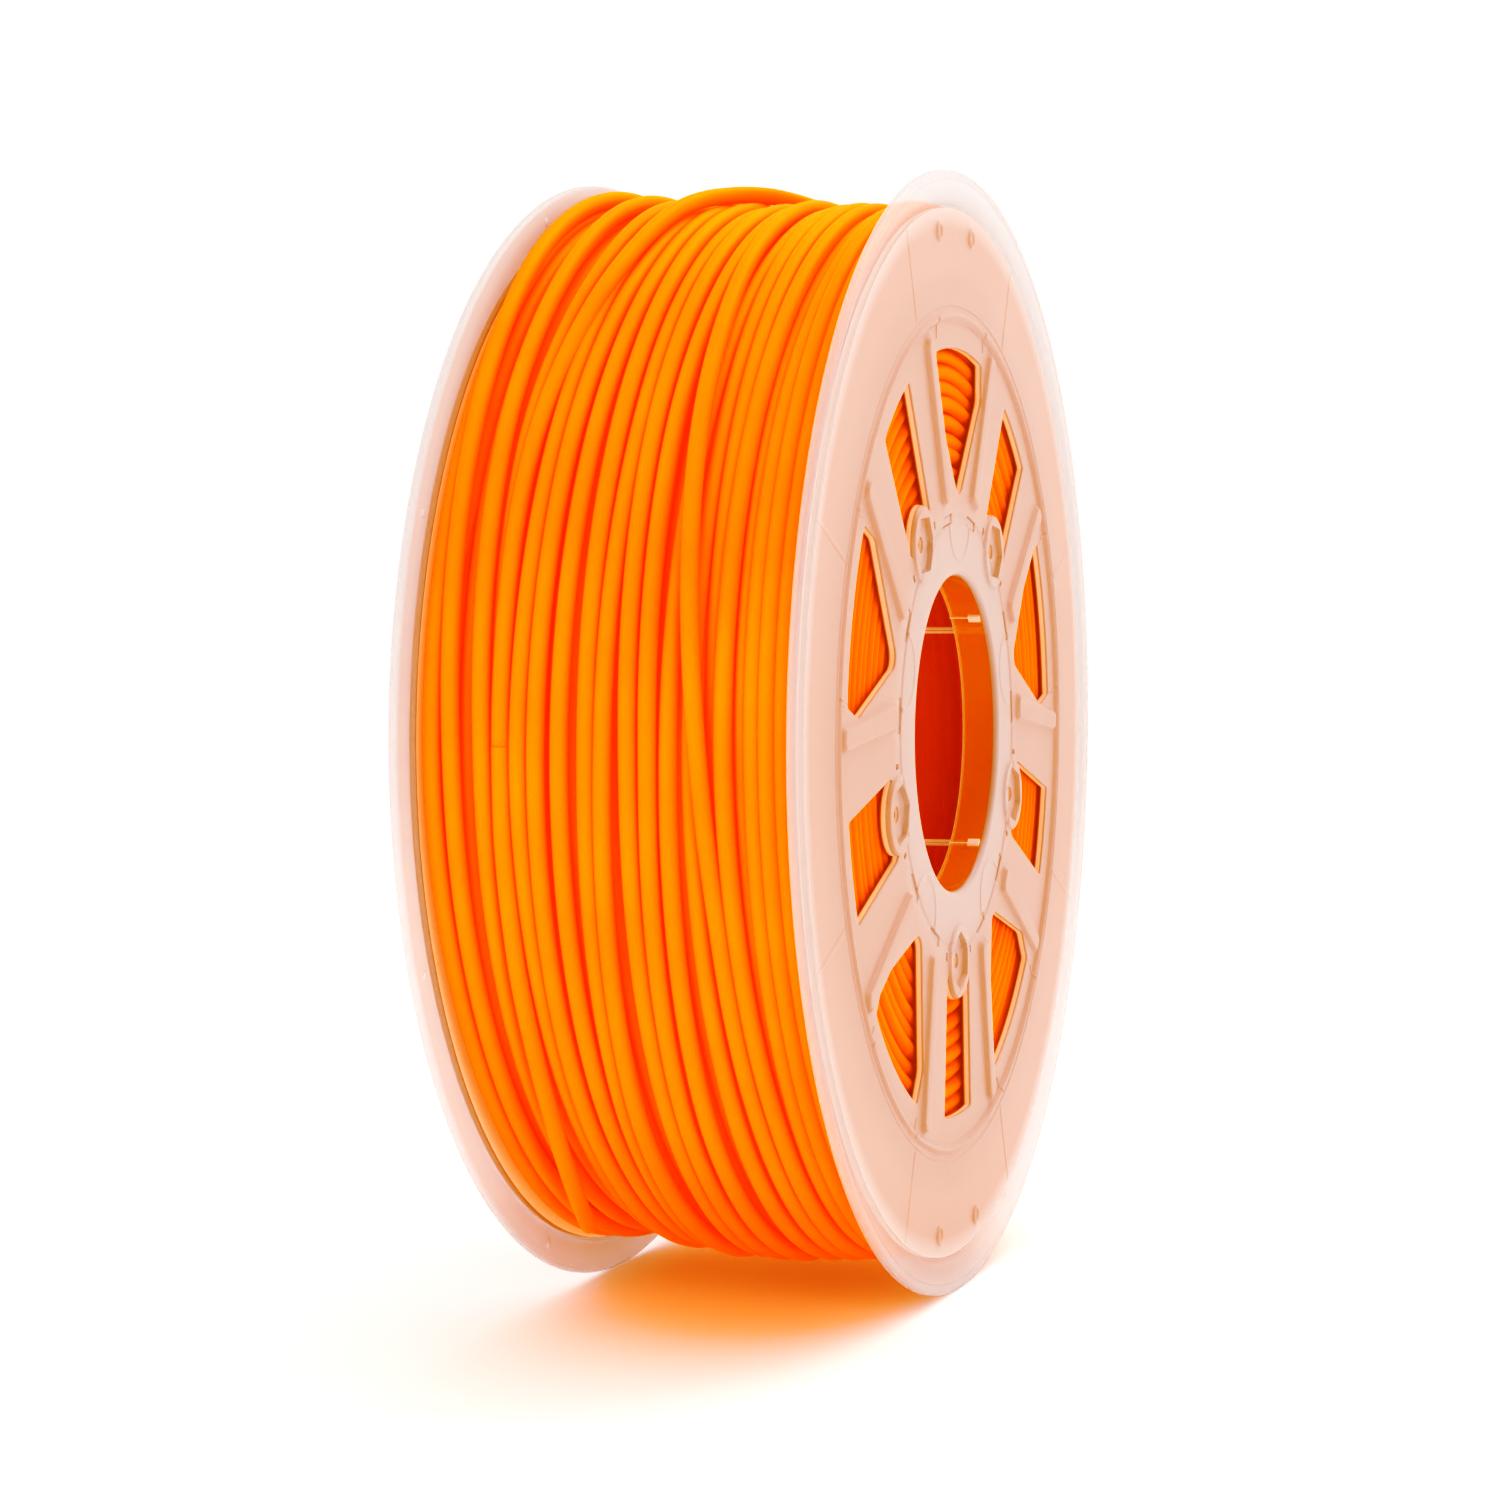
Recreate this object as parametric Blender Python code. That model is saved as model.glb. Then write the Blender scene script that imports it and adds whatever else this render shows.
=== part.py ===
"""Spool of 3 mm printing filament.

Two identical moulded flanges stand on a hub drum, whose tongues snap into slots round each
collar. The filament is wound on the drum, and its free end lifts off the last turn.

Frame: the origin is the middle of the bore, half way across the spool's width. +Y runs along
the bore to the rear flange, +X is to the right when the front flange faces the viewer, and +Z
is up. The spool stands on both rims. Angles are in the XZ plane, from +X towards +Z.
"""
import math

import bmesh
import bpy
from mathutils import Matrix, Vector

MM = 0.001

# Driving dimensions, in millimetres. A depth is measured inwards from a flange's outer plane.
FLANGE_R = 100.0
SPOOL_HALF_WIDTH = 33.8
BORE_R = 28.35
DRUM_INNER_R, DRUM_OUTER_R = 37.0, 39.7
FILAMENT_D = 3.0
GAP = 0.3

RIM_INNER_R, RIM_SLOPE = 94.0, 1.2
RIM_INNER_DEPTH, RIM_INNER_SLOPE = 1.7, 0.4
RIM_EDGE = 0.5
WEB_DEPTH, WEB_INNER_DEPTH = 0.9, 2.1
PANEL_R, PANEL_STEP = 76.0, 1.5
PANEL_DEPTH, PANEL_INNER_DEPTH = 1.2, 2.7
COLLAR_WALL, COLLAR_LENGTH, COLLAR_LIP_ROUND = 1.2, 8.2, 1.0

FOLD = 5
BIG_AXIS_DEG, SMALL_AXIS_DEG = 90.0, 54.0
WINDOW_OUTER_R = 68.8
BIG_HALF_WIDTH, BIG_SHOULDER, BIG_TIP, BIG_TIP_ROUND = 15.4, 60.6, 41.6, 2.6
SMALL_OUTER_HALF, SMALL_INNER_HALF, SMALL_INNER_R = 8.9, 7.3, 44.0
LUG_CENTRE_R, LUG_R, LUG_SHOULDER = 41.0, 7.0, 0.6
LUG_HOLE_R, HEX_ACROSS, HEX_DEPTH = 1.3, 9.4, 0.4

RIB_START, RIB_END = (8.9, 40.9), (22.0, 69.6)
RIB_BASE, RIB_CREST, RIB_DEPTH = 6.0, 3.8, 0.4
RIDGE_WIDTH, RIDGE_DEPTH, RIDGE_INNER_R, RIDGE_OUTER_R = 1.2, 0.7, 76.6, 93.2
RIDGE_COUNT, RIDGE_FIRST_DEG = 8, 22.5
BOSS_R, BOSS_DEPTH, BOSS_AT_R = 2.0, 0.6, 89.5
BOSS_DEGS = (86.0, 100.0, 261.0, 277.0)

SLOT_OFFSET_DEG, SLOT_LENGTH, SLOT_INNER_R, SLOT_OUTER_R = 12.0, 5.8, 37.9, 39.5
TONGUE_DEPTH = 1.5
DRUM_RIB_DEGS = (-36.0, 30.5, 144.0, 210.5)
DRUM_RIB_WIDTH, DRUM_RIB_HEIGHT, DRUM_RIB_SETBACK = 1.4, 0.7, 1.5

LAYER_INNER_R, LAYER_OUTER_R = 91.2, 94.4
LAYER_SWELL = 1.6

# The free end's route, as (angle, radius, Y), from the last turn to the bare tip.
TAIL_ROUTE = (
    (180.0, 93.0, 17.4), (184.6, 93.0, 17.4), (189.2, 93.0, 17.5), (193.8, 93.0, 17.5),
    (198.4, 93.0, 17.5), (203.0, 93.0, 17.6), (207.6, 93.0, 17.6), (212.2, 93.0, 17.7),
    (216.8, 93.1, 17.9), (221.3, 93.3, 18.2), (225.6, 93.8, 18.6), (229.8, 94.4, 19.0),
    (233.8, 95.0, 19.5), (237.7, 95.7, 20.1), (241.4, 96.3, 20.7),
)
TAIL_SPACING = 7.5
GROOVE_SPACING, GROOVE_R = 2.5, 1.9

# How finely round shapes are divided, and how far a cutter or an addition overlaps the body.
SIDES = 80
ARC_STEPS = 8
CIRCLE_SIDES = 12
STRAND_RESOLUTION = 2
OVERSHOOT = 1.0
EMBED = 0.5

ORANGE = (1.0, 0.27, 0.01, 1.0)
NATURAL = (0.90, 0.83, 0.78, 1.0)
SATIN, GLOSSY = 0.35, 0.2


def clear_scene():
    """Empty the file of every object."""
    for thing in list(bpy.data.objects):
        bpy.data.objects.remove(thing, do_unlink=True)


def plastic(name, colour, roughness):
    """A Principled plastic of one colour."""
    material = bpy.data.materials.new(name)
    material.use_nodes = True
    shader = material.node_tree.nodes["Principled BSDF"]
    shader.inputs["Base Color"].default_value = colour
    shader.inputs["Roughness"].default_value = roughness
    shader.inputs["Metallic"].default_value = 0.0
    return material


def polar(radius, degrees):
    """A point (x, z) of the flange's plane."""
    return (radius * math.cos(math.radians(degrees)), radius * math.sin(math.radians(degrees)))


def turned(point, degrees):
    """The point (x, z) turned about the bore's axis."""
    c, s = math.cos(math.radians(degrees)), math.sin(math.radians(degrees))
    return (point[0] * c - point[1] * s, point[0] * s + point[1] * c)


def arc(centre, radius, start, end, steps=ARC_STEPS):
    """Points (x, z) along an arc, both ends included."""
    offsets = [polar(radius, start + (end - start) * i / steps) for i in range(steps + 1)]
    return [(centre[0] + x, centre[1] + z) for x, z in offsets]


def circle(centre, radius, sides=CIRCLE_SIDES, first=0.0):
    """The corners (x, z) of a regular polygon, its first corner at the given angle."""
    return arc(centre, radius, first, first + 360.0, sides)[:-1]


def new_object(name, bm, material=None):
    """Link a bmesh, in millimetres, as an object in metres."""
    bmesh.ops.scale(bm, vec=(MM, MM, MM), verts=bm.verts)
    bmesh.ops.recalc_face_normals(bm, faces=bm.faces)
    mesh = bpy.data.meshes.new(name)
    bm.to_mesh(mesh)
    bm.free()
    if material:
        mesh.materials.append(material)
    thing = bpy.data.objects.new(name, mesh)
    bpy.context.scene.collection.objects.link(thing)
    return thing


def revolve(bm, section, stretch=None):
    """Turn a closed section of (radius, y) about the bore, with a flat at the lowest point.

    The flats lie at the section's radius. stretch(angle, radius) may add to a radius.
    """
    rings = []
    for i in range(SIDES):
        angle = 2 * math.pi * (i + 0.5) / SIDES
        ring = []
        for radius, y in section:
            r = (radius + (stretch(angle, radius) if stretch else 0.0)) / math.cos(math.pi / SIDES)
            ring.append(bm.verts.new((r * math.cos(angle), y, r * math.sin(angle))))
        rings.append(ring)
    count = len(section)
    for i, ring in enumerate(rings):
        after = rings[(i + 1) % SIDES]
        for j in range(count):
            k = (j + 1) % count
            bm.faces.new((ring[j], ring[k], after[k], after[j]))


def prism(bm, outline, y_from, y_to):
    """Extrude a closed outline of (x, z) points along Y."""
    bottom = [bm.verts.new((x, y_from, z)) for x, z in outline]
    face = bm.faces.new(bottom)
    moved = bmesh.ops.extrude_face_region(bm, geom=[face])["geom"]
    lifted = [item for item in moved if isinstance(item, bmesh.types.BMVert)]
    bmesh.ops.translate(bm, vec=(0, y_to - y_from, 0), verts=lifted)


def frustum(bm, base, crest, y_base, y_crest):
    """Join two outlines of (x, z) points, one above the other, into a closed solid."""
    low = [bm.verts.new((x, y_base, z)) for x, z in base]
    high = [bm.verts.new((x, y_crest, z)) for x, z in crest]
    bm.faces.new(low)
    bm.faces.new(list(reversed(high)))
    for i in range(len(low)):
        j = (i + 1) % len(low)
        bm.faces.new((low[j], low[i], high[i], high[j]))


def helper(name, bm):
    """A cutter or an addition, which isn't a piece of the spool itself."""
    thing = new_object(name, bm)
    thing.hide_render = True
    thing.display_type = 'WIRE'
    return thing


def combine(target, other, operation):
    """Add an exact boolean to the target."""
    modifier = target.modifiers.new(f"{operation.lower()}_{other.name}", 'BOOLEAN')
    modifier.operation = operation
    modifier.object = other
    modifier.solver = 'EXACT'


def big_window():
    """Outline of the big window whose axis points up: straight shoulders, then a rounded V."""
    top = math.degrees(math.asin(BIG_HALF_WIDTH / WINDOW_OUTER_R))
    outer = arc((0, 0), WINDOW_OUTER_R, 90 - top, 90 + top)
    slope = math.degrees(math.atan2(BIG_HALF_WIDTH, BIG_SHOULDER - BIG_TIP + BIG_TIP_ROUND))
    centre = (0.0, BIG_TIP + BIG_TIP_ROUND)
    tip = arc(centre, BIG_TIP_ROUND, 180 + slope, 360 - slope)
    return outer + [(-BIG_HALF_WIDTH, BIG_SHOULDER)] + tip + [(BIG_HALF_WIDTH, BIG_SHOULDER)]


def small_window():
    """Outline of the small window whose axis points up, ended by the round lug below it."""
    top = math.degrees(math.asin(SMALL_OUTER_HALF / WINDOW_OUTER_R))
    outer = arc((0, 0), WINDOW_OUTER_R, 90 - top, 90 + top)
    reach = math.degrees(math.acos((SMALL_INNER_HALF - LUG_SHOULDER) / LUG_R))
    lug = arc((0, LUG_CENTRE_R), LUG_R, 180 - reach, reach)
    return outer + [(-SMALL_INNER_HALF, SMALL_INNER_R)] + lug + [(SMALL_INNER_HALF, SMALL_INNER_R)]


def slot_outline(degrees, length, inner_r, outer_r):
    """A small rectangle across the radius at the given angle."""
    half = length / 2
    corners = [(inner_r, -half), (outer_r, -half), (outer_r, half), (inner_r, half)]
    return [turned(corner, degrees) for corner in corners]


def slot_angles():
    """The angles of the slots, two beside each big window's axis."""
    axes = [BIG_AXIS_DEG + 360.0 * i / FOLD for i in range(FOLD)]
    return [axis + side * SLOT_OFFSET_DEG for axis in axes for side in (-1, 1)]


def flange_section():
    """The flange's turned section as (radius, depth): rim, web, panel and collar tube."""
    rim = [(FLANGE_R - RIM_EDGE, 0.0), (FLANGE_R, RIM_EDGE),
           (FLANGE_R, RIM_INNER_DEPTH - RIM_EDGE), (FLANGE_R - RIM_EDGE, RIM_INNER_DEPTH),
           (RIM_INNER_R + RIM_INNER_SLOPE, RIM_INNER_DEPTH)]
    inner_face = [(RIM_INNER_R, WEB_INNER_DEPTH), (PANEL_R, WEB_INNER_DEPTH),
                  (PANEL_R - PANEL_STEP, PANEL_INNER_DEPTH)]
    tube = [(BORE_R + COLLAR_WALL, PANEL_INNER_DEPTH), (BORE_R + COLLAR_WALL, COLLAR_LENGTH),
            (BORE_R, COLLAR_LENGTH)]
    lip_centre = (BORE_R + COLLAR_LIP_ROUND, PANEL_DEPTH + COLLAR_LIP_ROUND)
    lip = arc(lip_centre, COLLAR_LIP_ROUND, 180, 270, 2)
    outer_face = [(PANEL_R - PANEL_STEP, PANEL_DEPTH), (PANEL_R, WEB_DEPTH),
                  (RIM_INNER_R, WEB_DEPTH), (RIM_INNER_R + RIM_SLOPE, 0.0)]
    return rim + inner_face + tube + lip + outer_face


def raised_details():
    """The ribs that flank the big windows, the fine ridges and the round bosses of a flange."""
    bm = bmesh.new()
    start, end = Vector(RIB_START), Vector(RIB_END)
    along = (end - start).normalized()
    across = Vector((along.y, -along.x))
    for i in range(FOLD):
        for mirror in (1, -1):
            outlines = []
            for width in (RIB_BASE, RIB_CREST):
                taper = (RIB_BASE - width) / 2
                ends = (start + along * taper, end - along * taper)
                corners = [ends[0] - across * width / 2, ends[0] + across * width / 2,
                           ends[1] + across * width / 2, ends[1] - across * width / 2]
                outlines.append([turned((mirror * c.x, c.y), 360.0 * i / FOLD) for c in corners])
            frustum(bm, outlines[0], outlines[1], PANEL_DEPTH + EMBED, RIB_DEPTH)
    for i in range(RIDGE_COUNT):
        outline = slot_outline(RIDGE_FIRST_DEG + 360.0 * i / RIDGE_COUNT, RIDGE_WIDTH,
                               RIDGE_INNER_R, RIDGE_OUTER_R)
        prism(bm, outline, WEB_DEPTH + EMBED, RIDGE_DEPTH)
    for degrees in BOSS_DEGS:
        prism(bm, circle(polar(BOSS_AT_R, degrees), BOSS_R), WEB_DEPTH + EMBED, BOSS_DEPTH)
    return bm


def cut_details():
    """The windows, the nut pockets and the tongue slots of a flange."""
    bm = bmesh.new()
    through = (-OVERSHOOT, PANEL_INNER_DEPTH + OVERSHOOT)
    big, small = big_window(), small_window()
    hexagon = circle((0, LUG_CENTRE_R), HEX_ACROSS / math.sqrt(3), 6, 30.0)
    pocket = (-OVERSHOOT, PANEL_DEPTH + HEX_DEPTH)
    small_turn = SMALL_AXIS_DEG - 90.0
    for i in range(FOLD):
        step = 360.0 * i / FOLD
        prism(bm, [turned(p, step) for p in big], *through)
        prism(bm, [turned(p, step + small_turn) for p in small], *through)
        prism(bm, [turned(p, step + small_turn) for p in hexagon], *pocket)
    for degrees in slot_angles():
        prism(bm, slot_outline(degrees, SLOT_LENGTH, SLOT_INNER_R, SLOT_OUTER_R), *through)
    return bm


def pilot_holes():
    """The hole through each lug, at the middle of its nut pocket."""
    bm = bmesh.new()
    for i in range(FOLD):
        centre = polar(LUG_CENTRE_R, SMALL_AXIS_DEG + 360.0 * i / FOLD)
        prism(bm, circle(centre, LUG_HOLE_R), -OVERSHOOT, PANEL_INNER_DEPTH + OVERSHOOT)
    return bm


def flange(name, rear, material):
    """One flange. It is drawn by depth along +Y, then moved to its side of the spool."""
    bm = bmesh.new()
    revolve(bm, flange_section())
    body = new_object(name, bm, material)
    raised = helper(f"{name}_raised", raised_details())
    cuts = helper(f"{name}_cuts", cut_details())
    holes = helper(f"{name}_holes", pilot_holes())
    combine(body, raised, 'UNION')
    combine(body, cuts, 'DIFFERENCE')
    combine(body, holes, 'DIFFERENCE')
    place = Matrix.Rotation(math.pi if rear else 0.0, 4, 'Z') @ Matrix.Translation(
        (0, -SPOOL_HALF_WIDTH * MM, 0))
    for thing in (body, raised, cuts, holes):
        thing.matrix_world = place
    return body


def hub_drum(material):
    """The drum: a tube with fine ribs inside, and snap tongues that stand out of both ends."""
    end = SPOOL_HALF_WIDTH - PANEL_INNER_DEPTH - GAP
    bm = bmesh.new()
    revolve(bm, [(DRUM_INNER_R, -end), (DRUM_OUTER_R, -end), (DRUM_OUTER_R, end),
                 (DRUM_INNER_R, end)])
    body = new_object("hub_drum", bm, material)
    extra = bmesh.new()
    tip = SPOOL_HALF_WIDTH - TONGUE_DEPTH
    for degrees in slot_angles():
        for side in (-1, 1):
            angle = degrees if side < 0 else 180.0 - degrees
            outline = slot_outline(angle, SLOT_LENGTH - 2 * GAP, SLOT_INNER_R + GAP,
                                   SLOT_OUTER_R - GAP)
            prism(extra, outline, side * (end - OVERSHOOT), side * tip)
    for degrees in DRUM_RIB_DEGS:
        outline = slot_outline(degrees, DRUM_RIB_WIDTH, DRUM_INNER_R - DRUM_RIB_HEIGHT,
                               DRUM_INNER_R + EMBED)
        prism(extra, outline, DRUM_RIB_SETBACK - end, end - DRUM_RIB_SETBACK)
    combine(body, helper("hub_drum_extras", extra), 'UNION')
    return body


def swell(angle, radius):
    """The last layer stands looser over the top of the spool than under it."""
    return LAYER_SWELL * math.sin(angle) if radius > (LAYER_INNER_R + LAYER_OUTER_R) / 2 else 0.0


def winding(name, inner_r, outer_r, material, stretch=None):
    """A ring of wound filament between the flanges, its outer corners rounded by the turns."""
    side = SPOOL_HALF_WIDTH - PANEL_INNER_DEPTH - GAP
    corner = FILAMENT_D / 3
    bm = bmesh.new()
    revolve(bm, [(inner_r, -side), (outer_r - corner, -side), (outer_r, corner - side),
                 (outer_r, side - corner), (outer_r - corner, side), (inner_r, side)], stretch)
    return new_object(name, bm, material)


def smooth_route(spacing):
    """Points in millimetres along a smooth curve through the free end's route."""
    knots = [Vector((r * math.cos(math.radians(a)), y, r * math.sin(math.radians(a))))
             for a, r, y in TAIL_ROUTE]
    knots = [2 * knots[0] - knots[1]] + knots + [2 * knots[-1] - knots[-2]]
    points = []
    for before, start, end, after in zip(knots, knots[1:], knots[2:], knots[3:]):
        steps = max(1, round((end - start).length / spacing))
        for i in range(steps):
            t = i / steps
            points.append(0.5 * (2 * start + (end - before) * t
                                 + (2 * before - 5 * start + 4 * end - after) * t ** 2
                                 + (3 * start - before - 3 * end + after) * t ** 3))
    points.append(knots[-2])
    return points


def free_end(name, points, material):
    """The bare end of the filament: a round tube along a polyline, its ends filled."""
    curve = bpy.data.curves.new(name, 'CURVE')
    curve.dimensions = '3D'
    curve.bevel_depth = FILAMENT_D / 2 * MM
    curve.bevel_resolution = STRAND_RESOLUTION
    curve.use_fill_caps = True
    spline = curve.splines.new('POLY')
    spline.points.add(len(points) - 1)
    for knot, point in zip(spline.points, points):
        knot.co = (*(point * MM), 1.0)
    curve.materials.append(material)
    thing = bpy.data.objects.new(name, curve)
    bpy.context.scene.collection.objects.link(thing)
    return thing


def tail_groove():
    """The channel that keeps the last layer clear of the free end lying on it."""
    points = smooth_route(GROOVE_SPACING)
    points.insert(0, points[0] + (points[0] - points[1]).normalized() * GAP)
    bm = bmesh.new()
    rings = []
    for i, point in enumerate(points):
        ahead, behind = points[min(i + 1, len(points) - 1)], points[max(i - 1, 0)]
        along = (ahead - behind).normalized()
        side = along.cross(Vector((0, 1, 0))).normalized()
        up = side.cross(along)
        rings.append([bm.verts.new(point + x * side + z * up)
                      for x, z in circle((0, 0), GROOVE_R)])
    for ring, after in zip(rings, rings[1:]):
        for k in range(CIRCLE_SIDES):
            n = (k + 1) % CIRCLE_SIDES
            bm.faces.new((ring[k], ring[n], after[n], after[k]))
    bm.faces.new(rings[0])
    bm.faces.new(list(reversed(rings[-1])))
    return bm


def build():
    """Model the whole spool."""
    clear_scene()
    natural = plastic("natural_plastic", NATURAL, SATIN)
    drum_plastic = plastic("drum_plastic", NATURAL, GLOSSY)
    orange = plastic("orange_filament", ORANGE, SATIN)

    flange("front_flange", False, natural)
    flange("rear_flange", True, natural)
    hub_drum(drum_plastic)
    winding("filament_winding", DRUM_OUTER_R + GAP, LAYER_INNER_R - GAP, orange)
    layer = winding("filament_outer_layer", LAYER_INNER_R, LAYER_OUTER_R, orange, swell)
    combine(layer, helper("tail_groove", tail_groove()), 'DIFFERENCE')
    free_end("filament_free_end", smooth_route(TAIL_SPACING), orange)


build()
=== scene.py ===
"""The looks of a spool of 3 mm filament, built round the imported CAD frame.

Lengths are in millimetres until a mesh is made, and in metres after that. A point of a flange's
plane is a complex number, x + 1j * z, so that multiplying turns it about the bore. A depth is
measured inwards from a flange's outer plane. Angles run from +X towards +Z.
"""
import math

import bpy
import numpy as np
from mathutils import Matrix, Vector
from mathutils.geometry import delaunay_2d_cdt


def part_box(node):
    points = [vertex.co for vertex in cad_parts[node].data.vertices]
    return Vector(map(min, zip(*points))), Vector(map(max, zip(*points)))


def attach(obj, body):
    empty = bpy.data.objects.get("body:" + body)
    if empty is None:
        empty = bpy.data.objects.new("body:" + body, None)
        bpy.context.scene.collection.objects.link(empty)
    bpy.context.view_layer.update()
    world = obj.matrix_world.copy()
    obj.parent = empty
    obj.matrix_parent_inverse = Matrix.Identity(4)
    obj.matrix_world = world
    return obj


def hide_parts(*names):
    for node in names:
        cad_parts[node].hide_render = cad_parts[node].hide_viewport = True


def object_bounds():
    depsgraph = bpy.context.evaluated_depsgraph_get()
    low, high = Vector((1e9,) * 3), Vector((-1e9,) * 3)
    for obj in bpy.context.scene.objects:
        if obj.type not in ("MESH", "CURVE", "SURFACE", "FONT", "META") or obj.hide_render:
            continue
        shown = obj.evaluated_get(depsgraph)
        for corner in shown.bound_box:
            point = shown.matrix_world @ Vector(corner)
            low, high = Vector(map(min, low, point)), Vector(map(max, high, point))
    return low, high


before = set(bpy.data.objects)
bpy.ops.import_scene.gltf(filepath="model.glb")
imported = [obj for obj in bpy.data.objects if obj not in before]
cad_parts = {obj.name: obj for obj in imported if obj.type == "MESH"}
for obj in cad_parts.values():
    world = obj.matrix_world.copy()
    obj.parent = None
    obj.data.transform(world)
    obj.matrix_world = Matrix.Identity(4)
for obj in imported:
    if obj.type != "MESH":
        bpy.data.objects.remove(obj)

CAD_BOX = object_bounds()
MM = 0.001

# Sizes that the frame gives.
FLANGE_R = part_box("front_flange")[1].x / MM
HALF_WIDTH = -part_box("front_flange")[0].y / MM
COLLAR_LENGTH = HALF_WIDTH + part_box("front_flange")[1].y / MM
DRUM_OUTER_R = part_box("hub_drum")[1].x / MM
TONGUE_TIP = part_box("hub_drum")[1].y / MM
WINDING_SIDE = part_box("filament_winding")[1].y / MM
FLOOR_Z = CAD_BOX[0].z

# The flange.
BORE_R, COLLAR_WALL, LIP_ROUND = 28.35, 1.2, 1.0
PANEL_DEPTH, PANEL_INNER_DEPTH = 1.2, 2.7
WEB_DEPTH, WEB_INNER_DEPTH, RIM_INNER_DEPTH, RIM_ROUND = 0.9, 2.1, 1.7, 0.75
FOLD, BIG_AXIS_DEG, SMALL_AXIS_DEG = 5, 90.0, 54.0
WINDOW_OUTER_R = 68.8
BIG_HALF_WIDTH, BIG_SHOULDER, BIG_TIP, BIG_TIP_ROUND = 15.4, 60.6, 41.6, 2.6
SMALL_OUTER_HALF, SMALL_INNER_HALF, SMALL_INNER_R = 8.9, 7.3, 44.0
LUG_CENTRE_R, LUG_R, LUG_HOLE_R, HEX_ACROSS = 41.0, 7.0, 1.3, 9.4
SLOT_OFFSET_DEG, SLOT_LENGTH, SLOT_INNER_R, SLOT_OUTER_R = 12.0, 5.8, 37.9, 39.5
RIDGE_INNER_R, RIDGE_OUTER_R, RIDGE_COUNT, RIDGE_FIRST_DEG = 76.8, 93.2, 8, 22.5
BOSS_R, DIMPLE_R, BOSS_AT_R, BOSS_DEGS = 2.0, 1.3, 89.5, (86.0, 100.0, 261.0, 277.0)
COLLAR_R = round(BORE_R + COLLAR_WALL, 3)
EDGE_ROUND = 0.35

# How high each kind of feature stands, and how wide its slope is. A pocket's height is negative.
RIB_STEP, LINE_STEP, NOTCH_STEP, ARCH_STEP = (0.8, 0.9), (0.15, 0.2), (-0.4, 0.2), (0.15, 0.45)
LUG_STEP, HEX_STEP, PILOT_STEP = (0.45, 0.6), (-0.85, 0.35), (0.3, 0.3)
RIDGE_STEP, BOSS_STEP, DIMPLE_STEP = (0.12, 0.4), (0.4, 0.5), (-0.25, 0.4)
PIP_STEP, GROOVE_STEP = (0.3, 0.3), (-0.2, 0.25)

# The flange's mesh. Rings wider than WIDE_R have more sides. The middle of a bore ring's side lies
# just outside CHORD times the ring's radius.
RING_SIDES, BORE_SIDES, WIDE_R = 360, 180, 60.0
CHORD = math.cos(math.pi / BORE_SIDES) * 0.9999

# How deep the collar's tube starts, how far its end is rounded, and its rows of faces at that end.
TUBE_DEPTH, TUBE_ROUND, END_ROWS = 5.0, 0.3, (2, 3, 4)

# The flange's finishes, by material slot. Beyond RIM_R the plastic is thin and see-through. From
# EDGE_BAND_R to there the inner face glows, as do the openings' walls and the collar's end: painted
# light.
MILKY, CLEAR, THIN, PAINTED_GLOW = range(4)
RIM_R, EDGE_BAND_R = 93.4, 82.0

# The drum and the filament.
DRUM_INNER_R, DRUM_ROUND = 37.0, 0.4
DRUM_RIB_DEGS = (-36.0, 30.5, 144.0, 210.5)
PIP_DEGS = (-47.5, 47.5, 132.5, 227.5)
FILAMENT_R, TIP_ROUND = 1.5, 1.0
LAYER_AXIS_R, LAYER_SWELL = 93.0, 1.6
INNER_AXIS_R = DRUM_OUTER_R + FILAMENT_R + 0.15
SIDE_AXIS_Y = WINDING_SIDE - FILAMENT_R
SMOOTH_DEG = 9.0

# The free end's route, as (angle, radius, Y), from where it leaves the winding to its tip.
TAIL_ROUTE = (
    (180.0, 93.0, 17.4), (184.6, 93.0, 17.4), (189.2, 93.0, 17.5), (193.8, 93.0, 17.5),
    (198.4, 93.0, 17.5), (203.0, 93.0, 17.6), (207.6, 93.0, 17.6), (212.2, 93.0, 17.7),
    (216.8, 93.1, 17.9), (221.3, 93.3, 18.2), (225.6, 93.8, 18.6), (229.8, 94.4, 19.0),
    (233.8, 95.0, 19.5), (237.7, 95.7, 20.1), (241.4, 96.3, 20.7),
)

# How the turns of the last layer lie. Each turn has its Y and its own height at the four angles,
# which are the top, the shoulder, the side and the underside of the winding.
LAY_ANGLES = (118.0, 145.0, 180.0, 222.0)
REAR_PASS = (
    ((29.3, 29.3, 29.3, 28.5), (-3.0, -1.5, 0.0, 0.0)),
    ((28.5, 27.5, 25.8, 25.5), (0.0, 0.0, 0.0, 0.0)),
    ((21.5, 22.0, 20.5, 21.5), (0.0, 0.0, 0.0, -1.5)),
    ((16.0, 18.5, 18.8, 18.5), (-0.5, -1.2, -2.8, -3.0)),
    ((12.0, 13.0, 14.5, 14.7), (-0.8, -0.4, 0.0, -0.8)),
    ((8.8, 10.2, 11.5, 12.3), (-0.6, 0.0, 0.0, 0.0)),
    ((5.5, 6.5, 7.5, 8.8), (0.0, 0.0, 0.0, -0.5)),
)
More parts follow.
